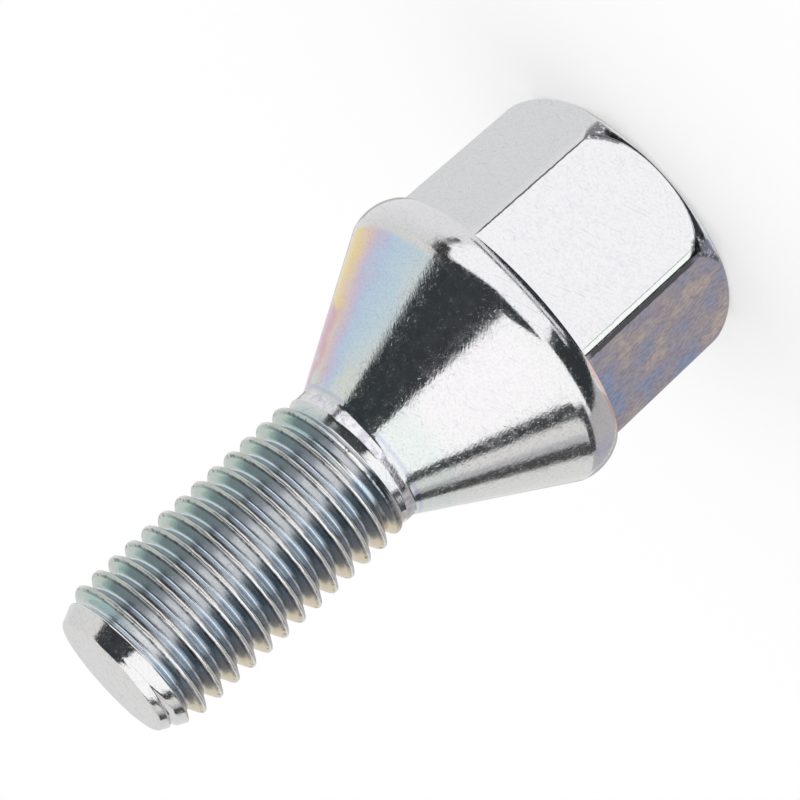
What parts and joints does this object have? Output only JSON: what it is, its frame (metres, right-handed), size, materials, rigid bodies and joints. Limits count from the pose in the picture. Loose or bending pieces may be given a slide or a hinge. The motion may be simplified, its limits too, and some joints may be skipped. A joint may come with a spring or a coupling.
{
  "type": "lug bolt",
  "caption": "Wheel lug bolt: hexagon head with a crowned collar, conical seat, short neck and a rolled thread with a chamfered tip.",
  "frame": {"origin": "centre of the flat on the head's top, on which the bolt stands", "axes": "+Z along the bolt's axis, from the head to the tip; a flat of the hexagon faces -Y and two corners lie on X"},
  "size_m": [0.0236, 0.0236, 0.0489],
  "materials": {
    "zinc_plate": "bright zinc plate on steel with a faint iridescent passivation and fine handling marks"
  },
  "bodies": {
    "root": {"lug_bolt": "zinc_plate"}
  },
  "joints": []
}
